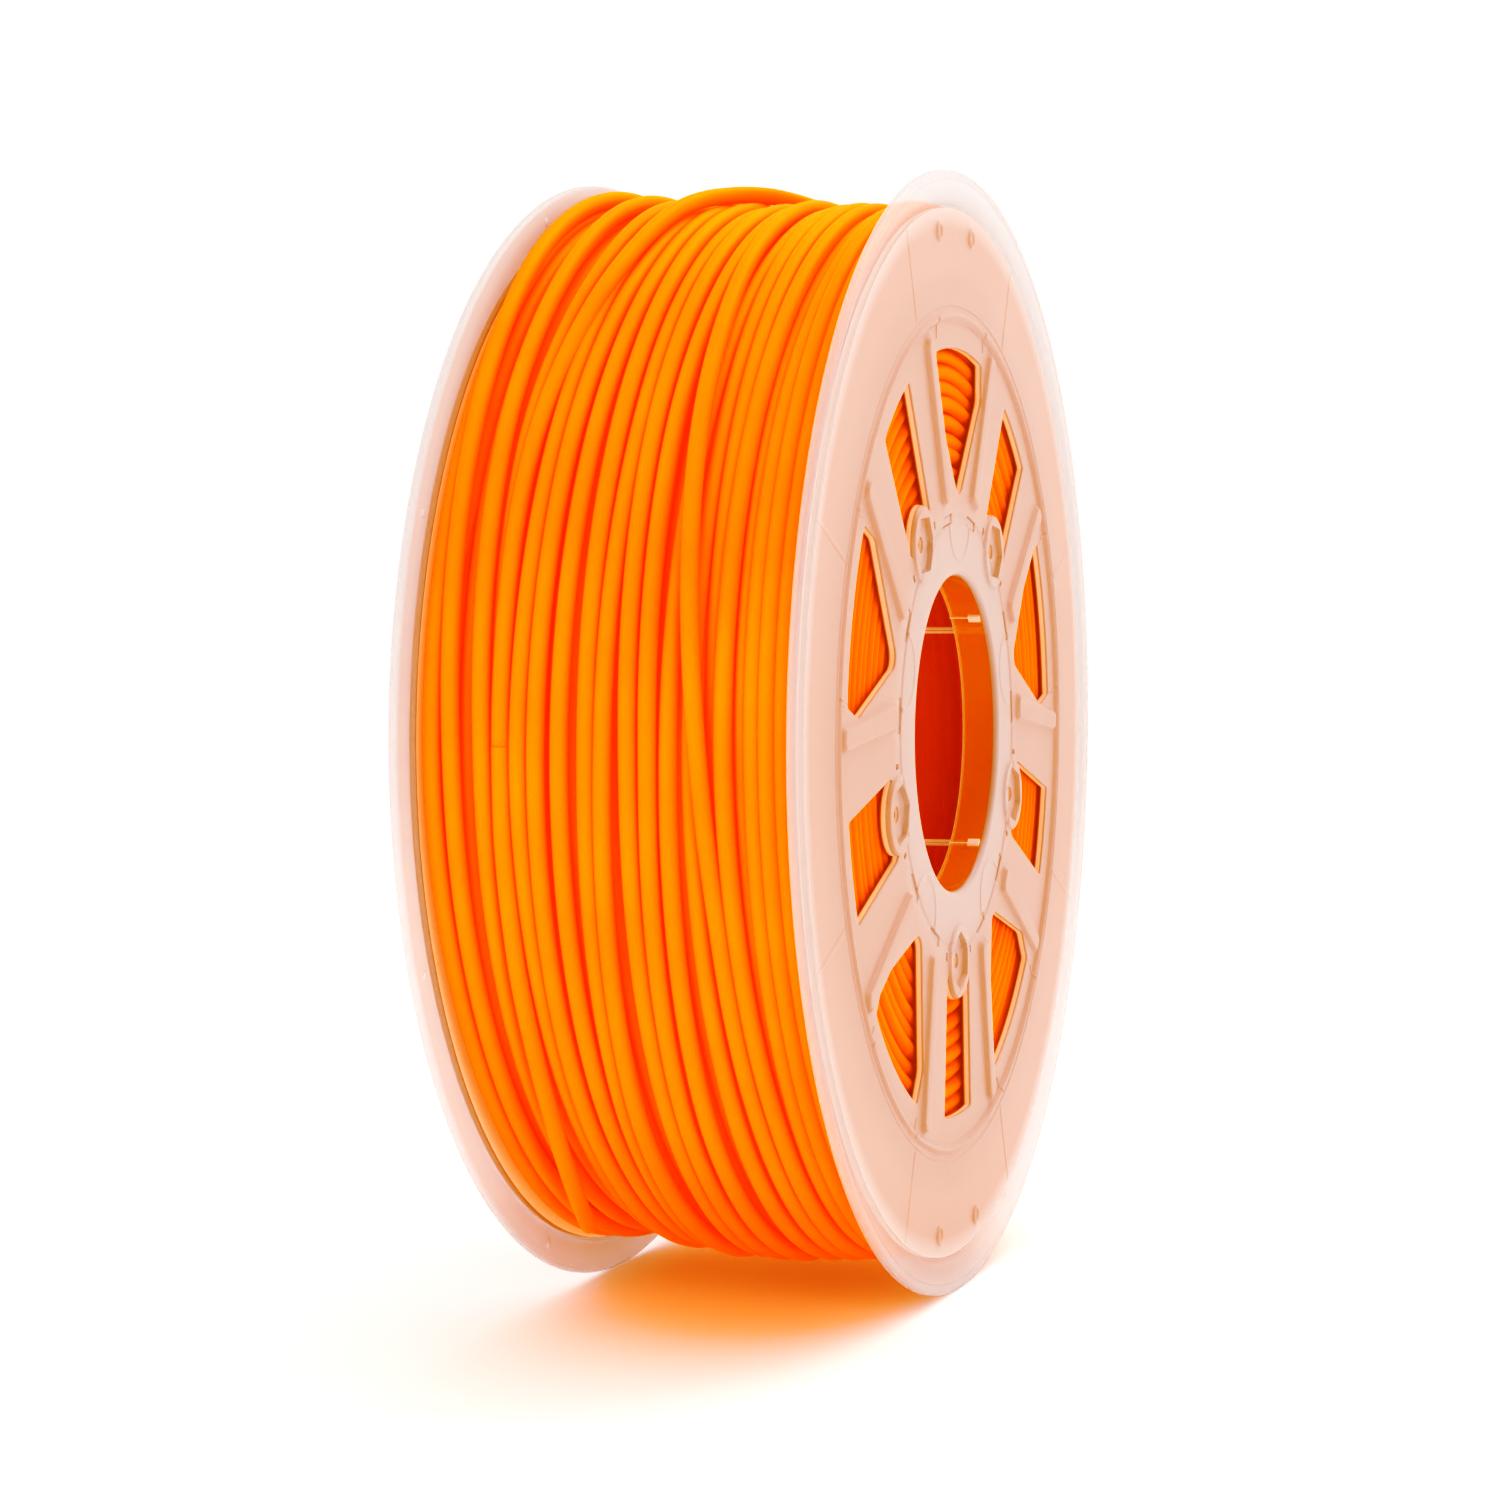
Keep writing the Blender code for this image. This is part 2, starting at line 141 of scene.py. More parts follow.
FRONT_PASS = (
    ((-29.3, -29.3, -29.3, -29.3), (-0.5, -0.5, -0.5, -0.5)),
    ((-26.8, -26.8, -27.0, -27.0), (0.0, 0.0, 0.0, 0.0)),
    ((-25.0, -24.5, -24.5, -24.5), (-0.8, -0.4, -0.4, -0.4)),
    ((-22.5, -22.5, -22.5, -23.0), (-2.2, -1.6, -2.0, -2.5)),
    ((-20.5, -20.0, -19.7, -21.0), (0.0, 0.0, 0.0, 0.0)),
    ((-17.5, -17.7, -17.6, -17.8), (0.0, -0.4, -2.8, -2.8)),
    ((-15.0, -14.8, -14.0, -14.2), (0.0, -1.5, -1.5, 0.0)),
    ((-12.5, -11.3, -10.6, -9.0), (-1.0, -1.5, -0.5, 0.0)),
    ((-7.0, -6.8, -7.4, -5.2), (0.0, 0.0, 0.0, 0.0)),
    ((-3.5, -3.4, -4.1, -2.6), (0.0, 0.0, 0.0, 0.0)),
    ((-0.5, -0.8, 0.2, 3.0), (-1.0, -0.5, 0.0, 0.0)),
    ((2.4, 2.6, 2.9, 5.5), (0.0, 0.0, 0.0, -0.8)),
)
# The last two turns, which lie loose across the others, as (angle, Y, own height) with the angle
# counted on from the front pass's last turn. They end where the free end starts.
LAST_TURNS = (
    (360, 3.5, 0.0), (375, 2.5, 2.0), (390, -1.0, 2.8), (405, -4.5, 2.8), (420, -7.5, 2.4),
    (440, -9.0, 1.0), (478, -9.3, 0.6), (493, -10.5, 1.0), (505, -11.5, 1.6), (517, -13.0, 1.7),
    (528, -14.5, 1.5), (540, -16.0, 0.6), (555, -17.5, 0.2), (582, -18.0, 0.0),
    (770, -18.5, 0.2), (780, -17.0, 0.6), (792, -13.0, 0.4), (800, -9.0, 1.2), (808, -2.0, 2.5),
    (816, 5.0, 3.0), (826, 9.0, 2.7), (838, 10.6, 2.0), (848, 13.0, 1.2), (856, 14.8, 0.5),
    (864, 16.4, 0.0), (872, 17.3, -0.4), (884, 17.3, -0.3), (900, 17.4, 0.0),
)

# How far the pile of turns stands out, on top and underneath, as Y values and heights there.
TOP_PILE = ((-8.0, 1.0, 6.0, 29.0), (-1.2, -0.3, -0.3, 2.8))
UNDER_PILE = ((-29.0, -12.0, 6.0, 18.0), (0.5, 2.4, 2.4, 0.0))

# Finishes: colours are linear, and distances from the bore's axis are in metres.
# The web's peach is painted: it stands for the filament's orange light seen through the plastic.
COLLAR_COLOUR, WEB_COLOUR, RIM_COLOUR = (0.57, 0.42, 0.37), (0.58, 0.37, 0.30), (0.72, 0.65, 0.63)
COLLAR_FADE, RIM_FADE = (0.034, 0.043), (0.0915, 0.0955)
PLASTIC_IOR, FILAMENT_IOR = 1.49, 1.3

# The studio, in metres: each lamp's name, place, width and power. All of them face the spool.
FLOOR_HALF = 6.0
LAMPS = (
    ("key", (0.6, -0.4, 1.2), 0.9, 6.0),
    ("fill", (-1.25, 0.5, 0.25), 1.0, 7.0),
    ("side", (-1.0, -0.8, 0.2), 0.5, 3.0),
    ("rear", (0.3, 1.3, 0.3), 0.6, 3.0),
    ("glint", (-0.05, -1.2, 0.1), 0.4, 1.5),
)
ROOM_AXIS = (0.7, 0.0, 0.6)
ROOM_DARK, ROOM_BRIGHT, ROOM_SEEN = (0.44, 0.35, 0.31), (1.15, 1.15, 1.15), (0.87, 0.87, 0.87)

# The view's curves, as (light, shown) points by channel: 1 is green, 2 is blue, 3 is all of them.
VIEW_CURVES = {
    3: ((0.06, 0.012), (0.15, 0.07), (0.3, 0.23), (0.6, 0.58)),
    1: ((0.3, 0.22), (0.5, 0.43), (0.62, 0.6), (0.75, 0.76)),
    2: ((0.15, 0.03), (0.3, 0.13), (0.45, 0.38), (0.6, 0.59)),
}


def turn_by(degrees):
    """The factor that turns a point of the flange's plane."""
    return np.exp(1j * np.radians(degrees))


# ---------------------------------------------------------------- outlines of the flange

def arc(centre, radius, start, end, steps):
    """Points along an arc, both ends included."""
    return centre + radius * turn_by(np.linspace(start, end, steps + 1))


def circle(centre, radius, sides):
    """Points round a circle, anticlockwise."""
    return centre + radius * turn_by(np.arange(sides) * 360.0 / sides)


def rounded(corners, radii, steps):
    """The closed outline with each corner rounded by its radius, or kept where that is 0."""
    points = []
    count = len(corners)
    for i, (corner, radius) in enumerate(zip(corners, radii)):
        if radius == 0.0:
            points.append(corner)
            continue
        back, ahead = corners[i - 1] - corner, corners[(i + 1) % count] - corner
        back, ahead = back / abs(back), ahead / abs(ahead)
        half = abs(np.angle(ahead / back)) / 2
        centre = corner + (back + ahead) / abs(back + ahead) * radius / math.sin(half)
        first = corner + back * radius / math.tan(half) - centre
        last = corner + ahead * radius / math.tan(half) - centre
        sweep = np.angle(last / first)
        points.extend(centre + first * np.exp(1j * sweep * np.arange(steps + 1) / steps))
    return np.array(points)


def offset(outline, distance):
    """The anticlockwise outline moved outwards by a distance, or inwards where it is negative."""
    ahead = np.roll(outline, -1) - outline
    normal = -1j * ahead / abs(ahead)
    both = normal + np.roll(normal, 1)
    both /= np.maximum(abs(both), 1e-9)
    stretch = 1 / np.maximum((both * np.conj(normal)).real, 0.5)
    return outline + distance * both * stretch


def box_outline(inner_r, outer_r, width, degrees, corner):
    """A rounded rectangle that lies along the radius at an angle."""
    half = width / 2
    corners = [inner_r - 1j * half, outer_r - 1j * half, outer_r + 1j * half, inner_r + 1j * half]
    return rounded(corners, [corner] * 4, 3) * turn_by(degrees)


def big_window():
    """The big window on the +Z axis, anticlockwise."""
    top, steps = math.degrees(math.asin(BIG_HALF_WIDTH / WINDOW_OUTER_R)), 24
    outer = list(arc(0, WINDOW_OUTER_R, 90 - top, 90 + top, steps))
    side = 1j * BIG_SHOULDER
    corners = outer + [side - BIG_HALF_WIDTH, 1j * BIG_TIP, side + BIG_HALF_WIDTH]
    radii = [0.0] * len(corners)
    radii[0] = radii[steps] = 0.5
    radii[-3] = radii[-1] = 4.0
    radii[-2] = BIG_TIP_ROUND
    return rounded(corners, radii, 8)


def small_window():
    """The small window on the +Z axis, anticlockwise, ended by the lug's round side."""
    top, steps = math.degrees(math.asin(SMALL_OUTER_HALF / WINDOW_OUTER_R)), 12
    outer = list(arc(0, WINDOW_OUTER_R, 90 - top, 90 + top, steps))
    reach = math.degrees(math.acos((SMALL_INNER_HALF - 0.6) / LUG_R))
    lug = list(arc(1j * LUG_CENTRE_R, LUG_R, 180 - reach, reach, 16))
    side = 1j * SMALL_INNER_R
    corners = outer + [side - SMALL_INNER_HALF] + lug + [side + SMALL_INNER_HALF]
    radii = [0.0] * len(corners)
    radii[0] = radii[steps] = 0.5
    return rounded(corners, radii, 4)


def rib(side):
    """The tapered rib beside the big window on the +Z axis."""
    start, end, start_half, end_half = complex(8.9, 40.9), complex(22.0, 69.6), 2.9, 2.3
    across = 1j * (end - start) / abs(end - start)
    corners = [start + start_half * across, start - start_half * across,
               end - end_half * across, end + end_half * across]
    outline = rounded(corners, [1.6, 1.6, 2.0, 2.0], 5)
    return outline if side > 0 else -np.conj(outline)[::-1]


def around(outline, first_deg):
    """Copies of an outline drawn on the +Z axis, one at each of the five axes."""
    return [outline * turn_by(first_deg - 90.0 + 360.0 * i / FOLD) for i in range(FOLD)]


def slots():
    """The slots beside each big window's axis, where the drum's tongues stand."""
    angles = [BIG_AXIS_DEG + 360.0 * i / FOLD + side * SLOT_OFFSET_DEG
              for i in range(FOLD) for side in (-1, 1)]
    return [box_outline(SLOT_INNER_R, SLOT_OUTER_R, SLOT_LENGTH, degrees, corner=0.3)
            for degrees in angles]


def openings():
    """Every outline that is cut right through the flange."""
    holes = around(circle(1j * LUG_CENTRE_R, LUG_HOLE_R, 24), SMALL_AXIS_DEG)
    return (around(big_window(), BIG_AXIS_DEG) + around(small_window(), SMALL_AXIS_DEG)
            + slots() + holes)


def spread(outline, first_deg, step):
    """A feature at each of the five axes, as (outline, height, slope)."""
    return [(copy, *step) for copy in around(outline, first_deg)]


def ridge_angles():
    """Where the fine radial ridges lie."""
    return [RIDGE_FIRST_DEG + 360.0 * i / RIDGE_COUNT for i in range(RIDGE_COUNT)]


def outer_features():
    """What stands out of the outer face or is sunk in it, as (outline, height, slope)."""
    found = []
    lug_centre, arch_centre, line_offset, notch_offset_deg = 1j * LUG_CENTRE_R, 38j, 16.0, 11.5
    for side in (-1, 1):
        line = box_outline(69.4, 73.4, width=0.6, degrees=90.0, corner=0.25) + side * line_offset
        notch = box_outline(39.6, 41.2, width=1.0, degrees=90.0 + side * notch_offset_deg, corner=0.3)
        found += spread(rib(side), BIG_AXIS_DEG, RIB_STEP)
        found += spread(line, BIG_AXIS_DEG, LINE_STEP)
        found += spread(notch, SMALL_AXIS_DEG, NOTCH_STEP)
    arch = np.concatenate([arc(arch_centre, 7.4, 180, 360, 24), arc(arch_centre, 6.2, 360, 180, 24)])
    hexagon = list(circle(0, HEX_ACROSS / math.sqrt(3), 6) * 1j + lug_centre)
    found += spread(arch, BIG_AXIS_DEG, ARCH_STEP)
    found += spread(circle(lug_centre, LUG_R, 48), SMALL_AXIS_DEG, LUG_STEP)
    found += spread(rounded(hexagon, [0.5] * 6, 3), SMALL_AXIS_DEG, HEX_STEP)
    found += spread(circle(lug_centre, LUG_HOLE_R + 1.0, 24), SMALL_AXIS_DEG, PILOT_STEP)
    for degrees in ridge_angles():
        ridge = box_outline(RIDGE_INNER_R, RIDGE_OUTER_R, width=1.3, degrees=degrees, corner=0.5)
        found.append((ridge, *RIDGE_STEP))
    for degrees in BOSS_DEGS:
        centre = BOSS_AT_R * turn_by(degrees)
        found.append((circle(centre, BOSS_R, 32), *BOSS_STEP))
        found.append((circle(centre, DIMPLE_R, 24), *DIMPLE_STEP))
    return found


def inner_features():
    """What the inner face has: small pips on the rim, and grooves behind the ridges."""
    found = []
    pip_at_r, pip_r = 97.0, 0.8
    for degrees in ridge_angles():
        groove = box_outline(88.0, 93.0, width=0.7, degrees=degrees, corner=0.2)
        found.append((circle(pip_at_r * turn_by(degrees), pip_r, 16), *PIP_STEP))
        found.append((groove, *GROOVE_STEP))
    return found


# ---------------------------------------------------------------- heights of the flange

def lip_profile():
    """Radii and depths round the bore's rounded lip."""
    angles = np.radians(np.linspace(0, 90, 6))
    return [(BORE_R + LIP_ROUND * (1 - math.cos(a)), PANEL_DEPTH + LIP_ROUND * (1 - math.sin(a)))
            for a in angles]


def rim_corner():
    """Radii and depths round the rim's outer corner."""
    angles = np.radians(np.linspace(90, 12, 5))
    return [(FLANGE_R - RIM_ROUND + RIM_ROUND * math.cos(a), RIM_ROUND - RIM_ROUND * math.sin(a))
            for a in angles]


OUTER_PROFILE = lip_profile() + [
    # The collar ring, and the panel that holds the windows.
    (37.7, PANEL_DEPTH), (37.95, PANEL_DEPTH + 0.15), (39.1, PANEL_DEPTH + 0.15),
    (39.35, PANEL_DEPTH), (73.5, PANEL_DEPTH),
    # The round bead where the panel meets the web, and a fine line outside it.
    (73.8, 0.95), (74.1, 0.6), (74.5, 0.5), (74.9, 0.6), (75.3, WEB_DEPTH), (76.2, WEB_DEPTH),
    (76.4, 0.76), (76.7, WEB_DEPTH),
    # The rise to the rim, and a hairline near its edge.
    (93.4, WEB_DEPTH), (93.8, 0.8), (94.2, 0.45), (94.7, 0.15), (95.2, 0.02), (95.6, 0.0),
    (98.0, 0.0), (98.2, 0.12), (98.5, 0.0)] + rim_corner()
INNER_PROFILE = [
    (BORE_R, PANEL_INNER_DEPTH), (73.7, PANEL_INNER_DEPTH), (74.6, 2.55), (75.4, 2.25),
    (76.0, WEB_INNER_DEPTH), (93.4, WEB_INNER_DEPTH), (93.7, 2.25), (94.1, 2.25), (94.5, 1.85),
    (95.0, RIM_INNER_DEPTH)] + [(r, RIM_INNER_DEPTH - d) for r, d in rim_corner()]


def signed_distance(points, outline):
    """Distance from each point to the outline, negative inside it."""
    result = np.full(len(points), np.inf)
    ends = np.roll(outline, -1)
    inside = np.zeros(len(points), bool)
    for a, b in zip(outline, ends):
        edge = b - a
        t = np.clip(((points - a) * np.conj(edge)).real / abs(edge) ** 2, 0, 1)
        result = np.minimum(result, abs(points - a - t * edge))
        straddles = (a.imag > points.imag) != (b.imag > points.imag)
        slope = edge.real / edge.imag if edge.imag else 0.0
        inside ^= straddles & (points.real < a.real + (points.imag - a.imag) * slope)
    return np.where(inside, -result, result)


def near(points, outline, reach):
    """Which points lie in the outline's box, widened by the reach."""
    return ((points.real > outline.real.min() - reach) & (points.real < outline.real.max() + reach)
            & (points.imag > outline.imag.min() - reach)
            & (points.imag < outline.imag.max() + reach))


def face_depth(points, profile, features, cuts):
    """Depth of the turned profile at each point, and how far its features and edges rise."""
    radii, depths = zip(*sorted(profile))
    depth = np.interp(abs(points), radii, depths)
    raised, sunk = np.zeros(len(points)), np.zeros(len(points))
    for outline, height, slope in features:
        at = near(points, outline, 0.1)
        t = np.clip(-signed_distance(points[at], outline) / slope, 0, 1)
        ramp = abs(height) * t * t * (3 - 2 * t)
        target = raised if height > 0 else sunk
        target[at] = np.maximum(target[at], ramp)
    fall = np.zeros(len(points))
    for outline in cuts:
        at = near(points, outline, EDGE_ROUND)
        gap = np.clip(EDGE_ROUND - abs(signed_distance(points[at], outline)), 0, EDGE_ROUND)
        fall[at] = np.maximum(fall[at], EDGE_ROUND - np.sqrt(EDGE_ROUND ** 2 - gap ** 2))
    return depth, raised - sunk - fall


# ---------------------------------------------------------------- meshes

def new_mesh(name, points, faces, materials, smooth_deg=None):
    """An object in metres from points in millimetres, shaded smooth."""
    mesh = bpy.data.meshes.new(name)
    mesh.from_pydata((np.asarray(points) * MM).tolist(), [], faces)
    mesh.update()
    for material in materials:
        mesh.materials.append(material)
    mesh.shade_smooth()
    if smooth_deg:
        mesh.set_sharp_from_angle(angle=math.radians(smooth_deg))
    thing = bpy.data.objects.new(name, mesh)
    bpy.context.scene.collection.objects.link(thing)
    return thing


def weigh_normals(thing):
    """Let large flat faces set the shading at their edges."""
    modifier = thing.modifiers.new("weighted_normal", 'WEIGHTED_NORMAL')
    modifier.keep_sharp = True


def flange_triangles(features, cuts):
    """Triangles over the flange's plane, with an edge along every outline and profile ring."""
    loops = []
    profile_radii = {round(radius, 3) for radius, _ in OUTER_PROFILE + INNER_PROFILE}
    radii = sorted(profile_radii | {COLLAR_R, EDGE_BAND_R})
    for radius in radii:
        loops.append(circle(0, radius, RING_SIDES if radius > WIDE_R else BORE_SIDES))
    for outline, _, slope in features:
        loops += [offset(outline, -slope * k / 3) for k in range(4)]
    for outline in cuts:
        loops += [offset(outline, EDGE_ROUND * k) for k in (0.0, 0.15, 0.45, 1.0)]
    points, edges, starts = [], [], []
    for loop in loops:
        first, count = len(points), len(loop)
        starts.append(first)
        points += [Vector((p.real, p.imag)) for p in loop]
        edges += [(first + i, first + (i + 1) % count) for i in range(count)]
    verts, _, faces, origin, _, _ = delaunay_2d_cdt(points, edges, [], 0, 1e-4)
    flat = np.array([complex(v.x, v.y) for v in verts])
    tris = np.array([f[:] for f in faces])
    corner = flat[tris]
    turn = ((corner[:, 1] - corner[:, 0]) * np.conj(corner[:, 2] - corner[:, 0])).imag
    tris = np.where((turn < 0)[:, None], tris, tris[:, ::-1])
    middle = flat[tris].mean(1)
    keep = abs(middle) > BORE_R * CHORD
    for outline in cuts:
        at = np.flatnonzero(near(middle, outline, 0.0))
        keep[at[signed_distance(middle[at], outline) < 0]] = False
    place = {source: i for i, sources in enumerate(origin) for source in sources}
    rings = {radius: [place[start + i] for i in range(BORE_SIDES)]
             for radius, start in zip(radii, starts) if radius <= WIDE_R}
    return flat, tris[keep], rings


def collar_rows(rings, points, inner_start):
    """Rows of point numbers down the bore, round the collar's end and back up its outside."""
    fall, last = COLLAR_LENGTH - TUBE_ROUND, COLLAR_LENGTH
    rows = [rings[round(BORE_R, 3)]]
    for radius, depth in ((BORE_R, TUBE_DEPTH), (BORE_R, fall), (BORE_R + TUBE_ROUND, last),
                          (COLLAR_R - TUBE_ROUND, last), (COLLAR_R, fall), (COLLAR_R, TUBE_DEPTH)):
        rows.append(list(range(len(points), len(points) + BORE_SIDES)))
        points += [(p.real, depth - HALF_WIDTH, p.imag) for p in circle(0, radius, BORE_SIDES)]
    rows.append([i + inner_start for i in rings[COLLAR_R]])
    return rows


def flange_finish(kind, reach):
    """The material slot of a flange's face, by its kind and its distance from the axis."""
    if kind == "tube":
        return CLEAR
    # The collar's end, the openings' walls and the inner face's band take the glowing finish, which
    # paints light on them.
    if kind == "tube_end":
        return PAINTED_GLOW
    if reach > RIM_R:
        return THIN
    if kind == "wall" or kind == "inner" and reach > EDGE_BAND_R:
        return PAINTED_GLOW
    return MILKY


def flange_mesh(materials):
    """One flange, drawn on the front side of the spool."""
    outer_set, inner_set, cuts = outer_features(), inner_features(), openings()
    flat, tris, rings = flange_triangles(outer_set + inner_set, cuts)
    outer_depth, outer_rise = face_depth(flat, OUTER_PROFILE, outer_set, cuts)
    inner_depth, inner_rise = face_depth(flat, INNER_PROFILE, inner_set, cuts)
    outer_y, inner_y = outer_depth - outer_rise, inner_depth + inner_rise
    count = len(flat)
    points = [(p.real, y - HALF_WIDTH, p.imag)
              for ys in (outer_y, inner_y) for p, y in zip(flat, ys)]
    outer = tris.tolist()
    beyond = tris[abs(flat[tris].mean(1)) > COLLAR_R * CHORD]
    inner = (beyond[:, ::-1] + count).tolist()

    # A wall joins the two faces along each edge that only one triangle has.
    edges = dict.fromkeys(edge for a, b, c in outer for edge in ((a, b), (b, c), (c, a)))
    walls = [(b, a, a + count, b + count) for a, b in edges
             if (b, a) not in edges and abs(flat[a]) > COLLAR_R + 1]

    rows = collar_rows(rings, points, count)
    tube_faces, tube_kinds = [], []
    for number, (row, after) in enumerate(zip(rows, rows[1:])):
        for i in range(BORE_SIDES):
            j = (i + 1) % BORE_SIDES
            tube_faces.append((row[i], row[j], after[j], after[i]))
        tube_kinds += ["tube_end" if number in END_ROWS else "tube"] * BORE_SIDES
    thing = new_mesh("front_flange_moulding", points, outer + inner + walls + tube_faces,
                     materials, 38)
    kinds = ["outer"] * len(outer) + ["inner"] * len(inner) + ["wall"] * len(walls) + tube_kinds
    for polygon, kind in zip(thing.data.polygons, kinds):
        reach = math.hypot(polygon.center.x, polygon.center.z) / MM
        polygon.material_index = flange_finish(kind, reach)
    return thing


# ---------------------------------------------------------------- strands

def smooth(values, width):
    """Values of an even path, averaged twice over a window, with the ends held."""
    if width < 2:
        return values
    kernel = np.ones(width) / width
    for _ in range(2):
        padded = np.concatenate([np.full(width, values[0]), values, np.full(width, values[-1])])
        values = np.convolve(padded, kernel, 'same')[width:-width]
    return values


def pile_up(turned, y):
    """How far the pile stands out on top, by the rear flange, and underneath, in the middle."""
    on_top = np.clip(np.sin(turned), 0, 1) ** 2
    under = np.clip(-np.sin(turned), 0, 1) ** 2
    return on_top * np.interp(y, *TOP_PILE) + under * np.interp(y, *UNDER_PILE)


def strand_path(knots, step):
    """Points along a strand given as (angle, Y, height above the layer) knots."""
    angle, y, height = (np.array(column, float) for column in zip(*knots))
    even = np.arange(angle[0], angle[-1] + step / 2, step)
    width = round(SMOOTH_DEG / step)
    y = np.clip(smooth(np.interp(even, angle, y), width), -SIDE_AXIS_Y, SIDE_AXIS_Y)
    height = smooth(np.interp(even, angle, height), width)
    turned = np.radians(even)
    radius = LAYER_AXIS_R + LAYER_SWELL * np.sin(turned) + pile_up(turned, y) + height
    return np.stack([radius * np.cos(turned), y, radius * np.sin(turned)], 1)


def tube(path, sides, closed=False):
    """Points and faces of a strand along a path that runs round the bore."""
    if closed:
        along = np.roll(path, -1, 0) - np.roll(path, 1, 0)
    else:
        along = np.gradient(path, axis=0)
    along /= np.linalg.norm(along, axis=1)[:, None]
    out = path * (1, 0, 1)
    out -= along * (out * along).sum(1)[:, None]
    out /= np.linalg.norm(out, axis=1)[:, None]
    across = np.cross(along, out)
    angle = 2 * np.pi * np.arange(sides) / sides
    ring = (np.cos(angle)[None, :, None] * out[:, None]
            + np.sin(angle)[None, :, None] * across[:, None])
    points = path[:, None] + FILAMENT_R * ring
    count = len(path)
    rows = np.arange(count if closed else count - 1)
    i, k = np.meshgrid(rows, np.arange(sides), indexing='ij')
    j, n = (i + 1) % count, (k + 1) % sides
    quads = np.stack([i * sides + k, i * sides + n, j * sides + n, j * sides + k], -1)
    faces = quads.reshape(-1, 4).tolist()
    if not closed:
        faces.append(list(range(sides))[::-1])
        faces.append(list(range((count - 1) * sides, count * sides)))
    return points.reshape(-1, 3), faces


def join(parts):
    """Several parts, each of points and faces, as one."""
    points, faces, start = [], [], 0
    for part_points, part_faces in parts:
        points.append(part_points)
        faces += [[i + start for i in face] for face in part_faces]
        start += len(part_points)
    return np.concatenate(points), faces


def pass_knots(turns, lead, tail):
    """Knots of a pass that runs through its turns in order, with a lead-in and a tail.

    Behind the winding, each turn drifts to where the next one starts, a little unevenly.
    """
    y_sway, height_sway = 0.25, 0.2
    rng = np.random.default_rng(7)
    knots = list(lead)
    for number, (ys, heights) in enumerate(turns):
        for angle, y, height in zip(LAY_ANGLES, ys, heights):
            knots.append((angle + 360.0 * number, y, height))
        if number + 1 < len(turns):
            following = turns[number + 1]
            for share in (0.3, 0.55, 0.8):
                angle = LAY_ANGLES[-1] + share * (360 + LAY_ANGLES[0] - LAY_ANGLES[-1])
                y = ys[-1] * (1 - share) + following[0][0] * share
                height = heights[-1] * (1 - share) + following[1][0] * share
                knots.append((angle + 360.0 * number, y + rng.uniform(-y_sway, y_sway),
                              height * 0.6 + rng.uniform(-height_sway, height_sway)))
    return knots + list(tail)


def outer_turns(material):
    """The last layer: the pass from the rear flange, and the pass that ends in the free end.

    Both come up from the layer below beside a flange, and the rear pass goes back down to it.
    """
    edge_y, deep, shallow = 29.3, -3.2, -1.0
    rear_end, front_end = 360.0 * (len(REAR_PASS) - 1), 360.0 * (len(FRONT_PASS) - 1)
    rear = pass_knots(REAR_PASS, [(-60.0, edge_y, deep), (20.0, edge_y, shallow)],
                      [(rear_end + 280.0, 7.5, shallow), (rear_end + 330.0, 6.0, deep)])
    front = pass_knots(FRONT_PASS, [(-60.0, -edge_y, deep), (20.0, -edge_y, shallow)],
                       [(front_end + angle, y, height) for angle, y, height in LAST_TURNS])
    points, faces = join([tube(strand_path(knots, 1.5), 16) for knots in (rear, front)])
    return new_mesh("filament_outer_turns", points, faces, [material])


def lower_turns(material):
    """The layer under the last one, which shows in its gaps."""
    turns, steps, first_y, pitch, depth = 19, 9, -28.4, 3.0, -3.3
    knots = [(360.0 * i + 360.0 / steps * k, first_y + pitch * (i + k / steps),
              depth + 0.25 * math.sin(i * 2.1 + k)) for i in range(turns) for k in range(steps)]
    points, faces = tube(strand_path(knots, 2.25), 10)
    return new_mesh("filament_lower_turns", points, faces, [material])


def side_turns(name, side, material):
    """The turns that lie against a flange and those beside them, layer on layer."""
    layers, layer_rise, column_rise, column_step = 17, 2.95, 1.45, 2.6
    rng = np.random.default_rng(11 + side)
    angle = np.radians(np.arange(0, 360, 2.25))
    rings = []
    for column, sides in ((0, 12), (1, 8)):
        for layer in range(layers):
            phase, bend, lean = rng.uniform(0, 2 * np.pi), rng.uniform(0, 0.35), rng.uniform(0, 0.5)
            radius = (INNER_AXIS_R + layer_rise * layer + column * column_rise
                      + bend * np.sin(angle + phase))
            y = SIDE_AXIS_Y - column * column_step - lean * (1 + np.sin(2 * angle + phase)) / 2
            path = np.stack([radius * np.cos(angle), side * y, radius * np.sin(angle)], 1)
            rings.append(tube(path, sides, closed=True))
    points, faces = join(rings)
    return new_mesh(name, points, faces, [material])


def inner_turns(material):
    """The first layer, which shows through the drum and sways a little along it."""
    turns, sway = 20, 0.25
    angle = np.radians(np.arange(0, 360 * turns, 3.0))
    share = angle / angle[-1]
    y = -SIDE_AXIS_Y + 2 * SIDE_AXIS_Y * share + sway * np.sin(angle * 1.37)
    y = np.clip(y, -SIDE_AXIS_Y, SIDE_AXIS_Y)
    path = np.stack([INNER_AXIS_R * np.cos(angle), y, INNER_AXIS_R * np.sin(angle)], 1)
    points, faces = tube(path, 10)
    return new_mesh("filament_inner_turns", points, faces, [material])


def revolve(section, sides):
    """Points and quads of a closed (radius, Y) section turned about the bore."""
    points, faces = [], []
    count = len(section)
    for i in range(sides):
        turn = turn_by(360.0 * i / sides)
        points += [(r * turn.real, y, r * turn.imag) for r, y in section]
        for k in range(count):
            n, j = (k + 1) % count, (i + 1) % sides
            faces.append((i * count + k, i * count + n, j * count + n, j * count + k))
    return np.array(points), faces


